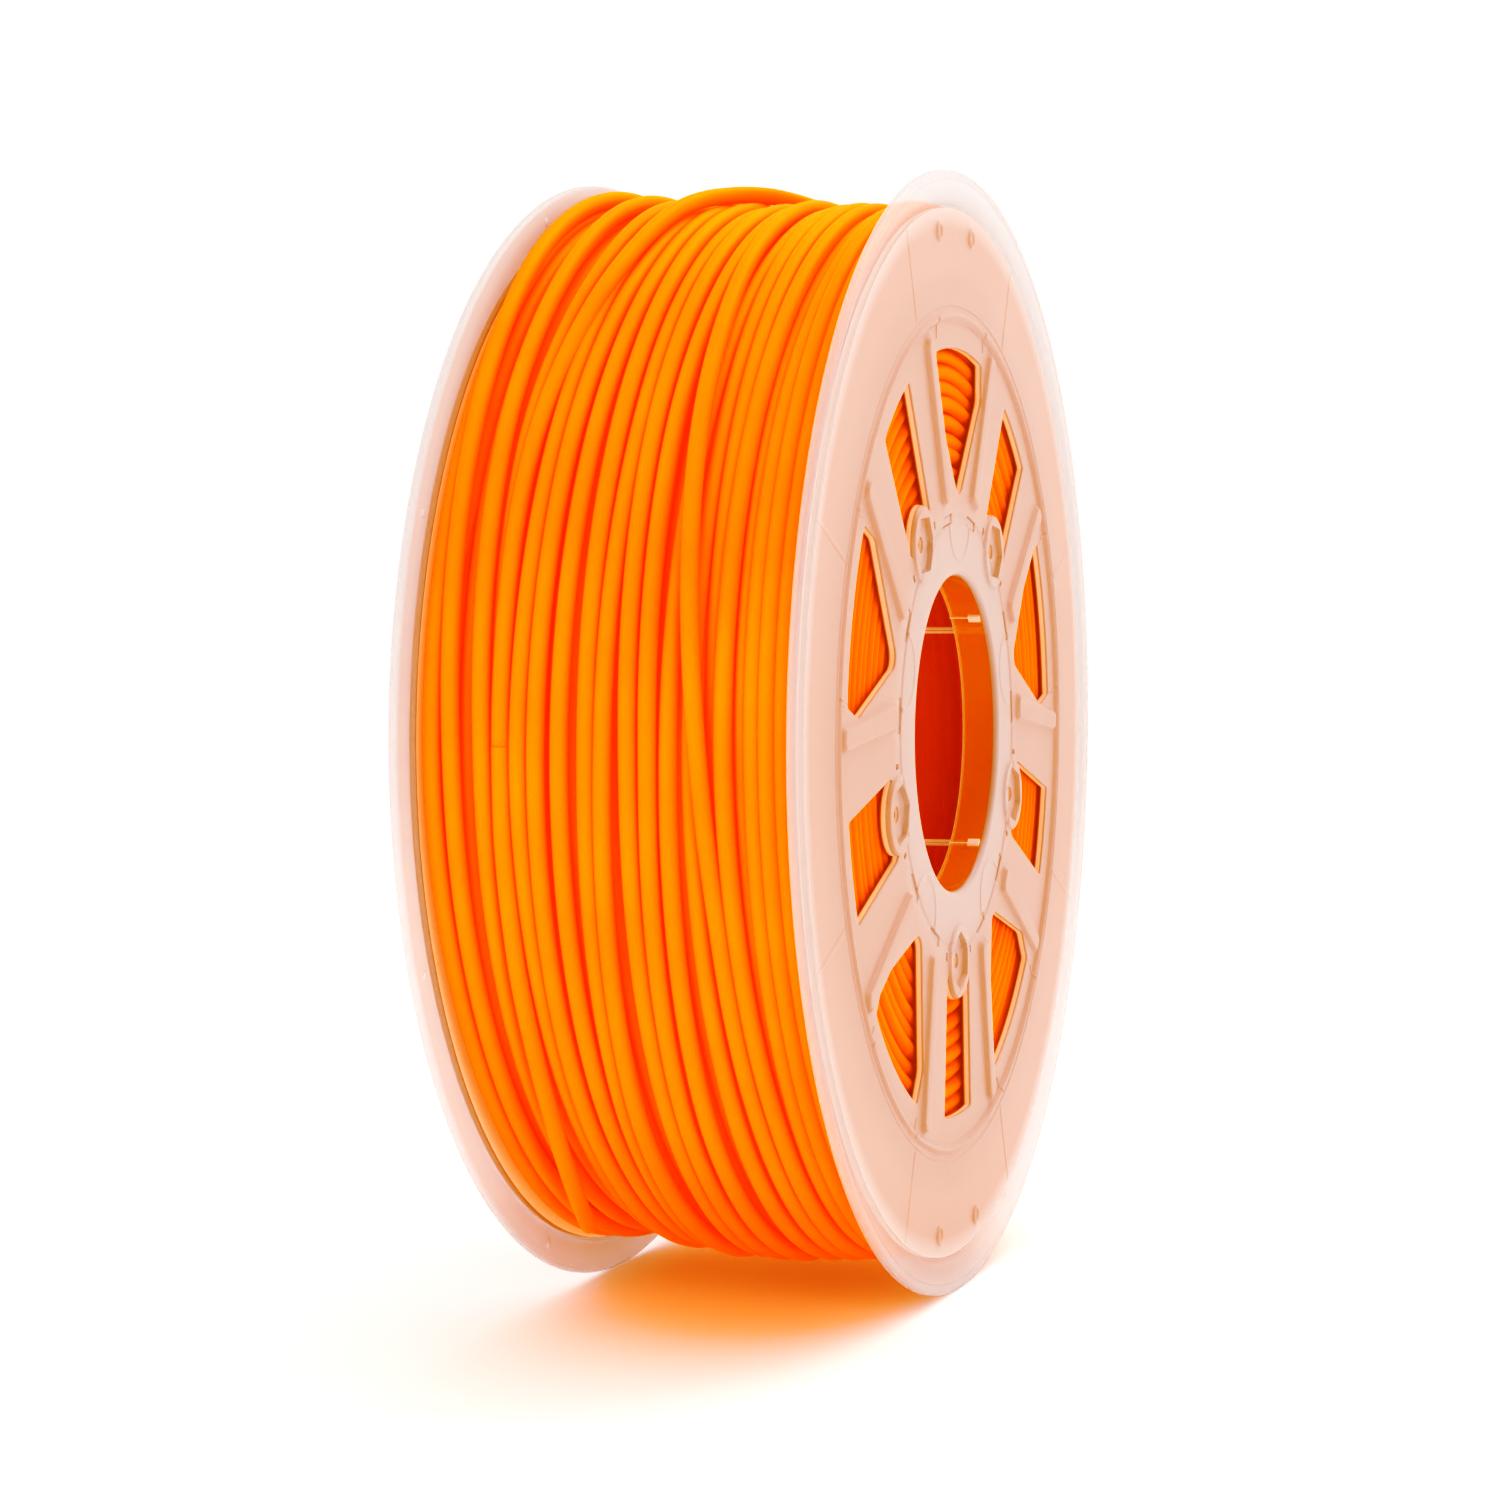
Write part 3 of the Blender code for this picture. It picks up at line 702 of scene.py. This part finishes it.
def winding_core(material):
    """The body of the winding, behind the turns that show."""
    inner, outer, side = INNER_AXIS_R + 1.0, LAYER_AXIS_R - 5.5, SIDE_AXIS_Y - 3.4
    points, faces = revolve([(inner, -side), (outer, -side), (outer, side), (inner, side)], 120)
    return new_mesh("filament_core", points, faces, [material], 30)


def free_end(material):
    """The bare end of the filament, a curve along its route with a rounded tip."""
    route = [Vector((r * math.cos(math.radians(a)), y, r * math.sin(math.radians(a))))
             for a, r, y in TAIL_ROUTE]
    knots = [2 * route[0] - route[1]] + route + [2 * route[-1] - route[-2]]
    points = []
    for before, start, end, after in zip(knots, knots[1:], knots[2:], knots[3:]):
        for t in (0.0, 0.25, 0.5, 0.75):
            points.append(0.5 * (2 * start + (end - before) * t
                                 + (2 * before - 5 * start + 4 * end - after) * t ** 2
                                 + (3 * start - before - 3 * end + after) * t ** 3))
    tip = (route[-1] - points[-1]).normalized()
    widths = [1.0] * len(points)
    for angle in (0, 25, 45, 65, 80, 88):
        points.append(route[-1] - tip * TIP_ROUND * (1 - math.sin(math.radians(angle))))
        widths.append(1 - TIP_ROUND / FILAMENT_R * (1 - math.cos(math.radians(angle))))
    curve = bpy.data.curves.new("filament_loose_end", 'CURVE')
    curve.dimensions = '3D'
    curve.bevel_depth = FILAMENT_R * MM
    curve.bevel_resolution = 6
    curve.use_fill_caps = True
    spline = curve.splines.new('POLY')
    spline.points.add(len(points) - 1)
    for knot, point, width in zip(spline.points, points, widths):
        knot.co = (*(point * MM), 1.0)
        knot.radius = width
    spline.use_smooth = True
    curve.materials.append(material)
    thing = bpy.data.objects.new("filament_loose_end", curve)
    bpy.context.scene.collection.objects.link(thing)
    return thing, route[0] * MM


# ---------------------------------------------------------------- the drum

def prism(outline, y_from, y_to):
    """A closed solid of an anticlockwise outline between two Y values."""
    count = len(outline)
    points = [(p.real, y, p.imag) for y in (y_from, y_to) for p in outline]
    faces = [list(range(count)), [i + count for i in reversed(range(count))]]
    for i in range(count):
        j = (i + 1) % count
        faces.append([j, i, i + count, j + count])
    return np.array(points), faces


def drum_rib(degrees):
    """The outline of one of the two fine ribs that stand side by side inside the drum."""
    return box_outline(DRUM_INNER_R - 0.6, DRUM_INNER_R + 0.1, width=0.35, degrees=degrees, corner=0.1)


def drum(clear, painted_glow_plastic, milky):
    """The drum's tube, its fine inner ribs and the tongues that stand in the flanges' slots."""
    end = HALF_WIDTH - PANEL_INNER_DEPTH - 0.3
    rib_end, round_end, tongue_start = end - 1.5, end - DRUM_ROUND, end - 0.2
    section = [(DRUM_INNER_R, -round_end), (DRUM_INNER_R + DRUM_ROUND, -end),
               (DRUM_OUTER_R - DRUM_ROUND, -end), (DRUM_OUTER_R, -round_end),
               (DRUM_OUTER_R, round_end), (DRUM_OUTER_R - DRUM_ROUND, end),
               (DRUM_INNER_R + DRUM_ROUND, end), (DRUM_INNER_R, round_end)]
    ribs = [prism(drum_rib(degrees + offset_deg), -rib_end, rib_end)
            for degrees in DRUM_RIB_DEGS for offset_deg in (-0.6, 0.6)]
    tongues = []
    for outline in slots():
        inset = offset(outline, -0.1)
        tongues.append(prism(inset, -TONGUE_TIP, -tongue_start))
        tongues.append(prism(-np.conj(inset)[::-1], tongue_start, TONGUE_TIP))
    # The fine ribs take the glowing finish, which paints light on them.
    groups = [[revolve(section, 200)], ribs, tongues]
    points, faces = join([part for group in groups for part in group])
    thing = new_mesh("hub_drum_moulding", points, faces, [clear, painted_glow_plastic, milky], 35)
    finish = [slot for slot, group in enumerate(groups) for _, sides in group for _ in sides]
    for polygon, slot in zip(thing.data.polygons, finish):
        polygon.material_index = slot
    return thing


def collar_pips(name, side, material):
    """The small pips on the wall of a flange's collar, each with a fine line behind it."""
    pip, line = (0.5, 1.5, 2.4, 4.6), (0.12, 0.3, 4.4, COLLAR_LENGTH)
    parts = []
    for degrees in PIP_DEGS:
        for height, width, start, end in (pip, line):
            outline = box_outline(BORE_R - height, BORE_R + 0.3, width, degrees, corner=0.1)
            near_y, far_y = sorted((side * (HALF_WIDTH - start), side * (HALF_WIDTH - end)))
            parts.append(prism(outline, near_y, far_y))
    points, faces = join(parts)
    return new_mesh(name, points, faces, [material], 35)


# ---------------------------------------------------------------- materials

def new_material(name):
    """A new material, its node tree and its Principled shader."""
    made = bpy.data.materials.new(name)
    made.use_nodes = True
    tree = made.node_tree
    return made, tree, tree.nodes["Principled BSDF"]


def node(tree, kind, **inputs):
    """A node of a kind, with its input values set by name."""
    made = tree.nodes.new(kind)
    for name, value in inputs.items():
        made.inputs[name.replace("_", " ")].default_value = value
    return made


def ramp_between(tree, source, low, high, colour_low, colour_high):
    """A colour ramp from one colour to another over part of a value's range."""
    ramp = tree.nodes.new('ShaderNodeValToRGB')
    stops = zip(ramp.color_ramp.elements, (low, high), (colour_low, colour_high))
    for stop, place, colour in stops:
        stop.position = place
        stop.color = (*colour, 1)
    tree.links.new(source, ramp.inputs["Fac"])
    return ramp.outputs["Color"]


def rough_from(tree, shader, source, low, high):
    """Drive the roughness between two values."""
    scaled = node(tree, 'ShaderNodeMapRange', To_Min=low, To_Max=high)
    tree.links.new(source, scaled.inputs["Value"])
    tree.links.new(scaled.outputs["Result"], shader.inputs["Roughness"])


def bump_from(tree, shader, source, strength, distance):
    """Drive the surface's normal."""
    bump = node(tree, 'ShaderNodeBump', Strength=strength, Distance=distance)
    tree.links.new(source, bump.inputs["Height"])
    tree.links.new(bump.outputs["Normal"], shader.inputs["Normal"])


def position(tree):
    """The place on the piece, in metres."""
    return tree.nodes.new('ShaderNodeTexCoord').outputs["Object"]


def filament_material(name, colour_low, colour_high, glow):
    """Satin orange plastic with slow changes of tone and gloss.

    Its glow stands for the light that passes through the strand.
    """
    made, tree, shader = new_material(name)
    place = position(tree)
    tone = node(tree, 'ShaderNodeTexNoise', Scale=45.0, Detail=3.0)
    tree.links.new(place, tone.inputs["Vector"])
    colour = ramp_between(tree, tone.outputs["Fac"], 0.3, 0.7, colour_low, colour_high)
    tree.links.new(colour, shader.inputs["Base Color"])
    rough_from(tree, shader, tone.outputs["Fac"], 0.38, 0.48)
    shader.inputs["IOR"].default_value = FILAMENT_IOR
    shader.inputs["Specular Tint"].default_value = (1.0, 0.42, 0.02, 1)
    shader.inputs["Emission Color"].default_value = (1.0, 0.45, 0.0, 1)
    shader.inputs["Emission Strength"].default_value = glow
    return made


def natural_material(name, transmission, alpha, glow=0.0):
    """Milky natural plastic, greyer at the collar and the rim, with turned marks and fine grain. The
    web's peach is painted: the filament's orange light showing through.

    Its glow is painted light: it stands for the light that passes through it, and lifts its shade.
    """
    made, tree, shader = new_material(name)
    place = position(tree)
    split = tree.nodes.new('ShaderNodeSeparateXYZ')
    tree.links.new(place, split.inputs[0])
    flat = tree.nodes.new('ShaderNodeCombineXYZ')
    tree.links.new(split.outputs["X"], flat.inputs["X"])
    tree.links.new(split.outputs["Z"], flat.inputs["Y"])
    rings = node(tree, 'ShaderNodeTexWave', Scale=380.0, Distortion=0.6, Detail=2.0)
    rings.wave_type, rings.rings_direction = 'RINGS', 'SPHERICAL'
    tree.links.new(flat.outputs["Vector"], rings.inputs["Vector"])
    cloud = node(tree, 'ShaderNodeTexNoise', Scale=38.0, Detail=4.0)
    grain = node(tree, 'ShaderNodeTexNoise', Scale=1500.0, Detail=2.0)
    for texture in (cloud, grain):
        tree.links.new(place, texture.inputs["Vector"])
    reach = tree.nodes.new('ShaderNodeVectorMath')
    reach.operation = 'LENGTH'
    tree.links.new(flat.outputs["Vector"], reach.inputs[0])
    body = ramp_between(tree, reach.outputs["Value"], *COLLAR_FADE, COLLAR_COLOUR, WEB_COLOUR)
    at_rim = ramp_between(tree, reach.outputs["Value"], *RIM_FADE, (0, 0, 0), (1, 1, 1))
    tint = tree.nodes.new('ShaderNodeMix')
    tint.data_type = 'RGBA'
    tint.inputs["B"].default_value = (*RIM_COLOUR, 1)
    tree.links.new(at_rim, tint.inputs["Factor"])
    tree.links.new(body, tint.inputs["A"])
    tree.links.new(tint.outputs["Result"], shader.inputs["Base Color"])
    rough_from(tree, shader, cloud.outputs["Fac"], 0.34, 0.44)
    shader.inputs["Specular IOR Level"].default_value = 0.3
    marks = node(tree, 'ShaderNodeMix', Factor=0.35)
    tree.links.new(rings.outputs["Fac"], marks.inputs["A"])
    tree.links.new(grain.outputs["Fac"], marks.inputs["B"])
    bump_from(tree, shader, marks.outputs["Result"], 0.04, 0.00005)
    shader.inputs["IOR"].default_value = PLASTIC_IOR
    shader.inputs["Transmission Weight"].default_value = transmission
    shader.inputs["Emission Color"].default_value = (1.0, 0.72, 0.55, 1)
    shader.inputs["Emission Strength"].default_value = glow
    shader.inputs["Alpha"].default_value = alpha
    return made


def clear_material(name, alpha, green):
    """Clear plastic, slightly hazy, with the tone of the filament behind it painted in as light."""
    made, tree, shader = new_material(name)
    place = position(tree)
    haze = node(tree, 'ShaderNodeTexNoise', Scale=60.0, Detail=3.0)
    tree.links.new(place, haze.inputs["Vector"])
    colour = ramp_between(tree, haze.outputs["Fac"], 0.3, 0.7, (1.0, green, 0.03),
                          (1.0, green + 0.08, 0.06))
    tree.links.new(colour, shader.inputs["Base Color"])
    rough_from(tree, shader, haze.outputs["Fac"], 0.04, 0.12)
    bump_from(tree, shader, haze.outputs["Fac"], 0.1, 0.0001)
    shader.inputs["IOR"].default_value = PLASTIC_IOR
    shader.inputs["Alpha"].default_value = alpha
    return made


# ---------------------------------------------------------------- the studio

def floor():
    """A plain pale floor."""
    corners = [(x * FLOOR_HALF, y * FLOOR_HALF, FLOOR_Z)
               for x, y in ((-1, -1), (1, -1), (1, 1), (-1, 1))]
    mesh = bpy.data.meshes.new("floor")
    mesh.from_pydata(corners, [], [(0, 1, 2, 3)])
    thing = bpy.data.objects.new("floor", mesh)
    bpy.context.scene.collection.objects.link(thing)
    made, _, shader = new_material("floor_white")
    shader.inputs["Base Color"].default_value = (0.95, 0.95, 0.95, 1)
    shader.inputs["Specular IOR Level"].default_value = 0.0
    shader.inputs["Emission Color"].default_value = (1, 1, 1, 1)
    shader.inputs["Emission Strength"].default_value = 0.06
    mesh.materials.append(made)


def room():
    """A pale room that lights the winding's side less, and warmly, and that looks plain white."""
    world = bpy.data.worlds.new("white_room")
    bpy.context.scene.world = world
    world.use_nodes = True
    tree = world.node_tree
    direction = tree.nodes.new('ShaderNodeTexCoord')
    facing = tree.nodes.new('ShaderNodeVectorMath')
    facing.operation = 'DOT_PRODUCT'
    facing.inputs[1].default_value = ROOM_AXIS
    tree.links.new(direction.outputs["Generated"], facing.inputs[0])
    light = ramp_between(tree, facing.outputs["Value"], -0.5, 0.5, ROOM_DARK, ROOM_BRIGHT)
    path = tree.nodes.new('ShaderNodeLightPath')
    pick = tree.nodes.new('ShaderNodeMix')
    pick.data_type = 'RGBA'
    pick.inputs["B"].default_value = (*ROOM_SEEN, 1)
    tree.links.new(path.outputs["Is Camera Ray"], pick.inputs["Factor"])
    tree.links.new(light, pick.inputs["A"])
    background = tree.nodes["Background"]
    tree.links.new(pick.outputs["Result"], background.inputs["Color"])
    background.inputs["Strength"].default_value = 1.15


def aimed(name, data, place, direction):
    """A lamp or camera at a place, pointed in a direction."""
    thing = bpy.data.objects.new(name, data)
    thing.location = place
    thing.rotation_mode = 'QUATERNION'
    thing.rotation_quaternion = direction.to_track_quat('-Z', 'Y')
    bpy.context.scene.collection.objects.link(thing)
    return thing


def lamps():
    """Large soft lamps that face the spool."""
    for name, place, size, power in LAMPS:
        lamp = bpy.data.lights.new(name, 'AREA')
        lamp.size, lamp.energy = size, power
        aimed(name, lamp, place, -Vector(place))


def picture_contrast():
    """A plain view with deeper, more saturated shadows."""
    view = bpy.context.scene.view_settings
    view.view_transform = 'Standard'
    view.use_curve_mapping = True
    for channel, bends in VIEW_CURVES.items():
        for light, shown in bends:
            view.curve_mapping.curves[channel].points.new(light, shown)
    view.curve_mapping.update()


def camera():
    """The camera, a little above the axis and well round to the winding's side."""
    heading, pitch = math.radians(71.38), math.radians(-1.933)
    lens = bpy.data.cameras.new("camera")
    lens.lens, lens.sensor_width = 78.94, 36.0
    lens.clip_start, lens.clip_end = 0.01, 20.0
    direction = Vector((math.sin(heading) * math.cos(pitch), math.cos(heading) * math.cos(pitch),
                        math.sin(pitch)))
    place = (-0.5725, -0.1858, 0.0170)
    bpy.context.scene.camera = aimed("camera", lens, place, direction)


# ---------------------------------------------------------------- the spool

def settle(piece, slot, *nodes):
    """Ride on the one body and stand for the CAD nodes. The slot is not used."""
    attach(piece, "root")
    if nodes:
        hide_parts(*nodes)


def build():
    """Make every piece."""
    camera()
    floor()
    room()
    lamps()
    picture_contrast()
    orange = filament_material("orange_filament", (1.0, 0.265, 0.0), (1.0, 0.305, 0.0), glow=0.15)
    # A darker copy of the filament, with shade painted in, for the turns against the flanges and the
    # first layer.
    inside = filament_material("orange_filament_painted_shade", (0.8, 0.19, 0.0), (0.86, 0.23, 0.0),
                               glow=0.13)
    clear = clear_material("clear_drum_plastic", alpha=0.3, green=0.22)
    milky = natural_material("natural_plastic", transmission=0.15, alpha=1.0, glow=0.07)
    thin = natural_material("natural_plastic_rim", transmission=0.0, alpha=0.48)
    # A glowing finish: painted light on the openings' walls, the collar's end, the inner face's band
    # by the rim, the drum's ribs and the collar's pips.
    painted_glow_plastic = natural_material("natural_plastic_painted_glow", transmission=0.0, alpha=1.0, glow=0.4)

    loose, exit_point = free_end(orange)
    settle(loose, "orange_filament", "filament_free_end")

    settle(outer_turns(orange), "orange_filament", "filament_outer_layer")
    settle(lower_turns(orange), "orange_filament")
    settle(side_turns("filament_front_side_turns", -1, inside), "orange_filament")
    settle(side_turns("filament_rear_side_turns", 1, inside), "orange_filament")
    settle(inner_turns(inside), "orange_filament")
    settle(winding_core(orange), "orange_filament", "filament_winding")
    settle(drum(clear, painted_glow_plastic, milky), "clear_drum_plastic", "hub_drum")

    # The flange's finishes are in the order of the slots: milky, clear, thin, and the glowing one that
    # paints light.
    front = flange_mesh([milky, clear_material("clear_collar", alpha=0.6, green=0.4), thin, painted_glow_plastic])
    weigh_normals(front)
    rear = bpy.data.objects.new("rear_flange_moulding", front.data)
    bpy.context.scene.collection.objects.link(rear)
    rear.matrix_world = Matrix.Rotation(math.pi, 4, 'Z')
    weigh_normals(rear)
    settle(front, "natural_plastic", "front_flange")
    settle(rear, "natural_plastic", "rear_flange")
    settle(collar_pips("front_collar_pips", -1, painted_glow_plastic), "natural_plastic")
    settle(collar_pips("rear_collar_pips", 1, painted_glow_plastic), "natural_plastic")


build()
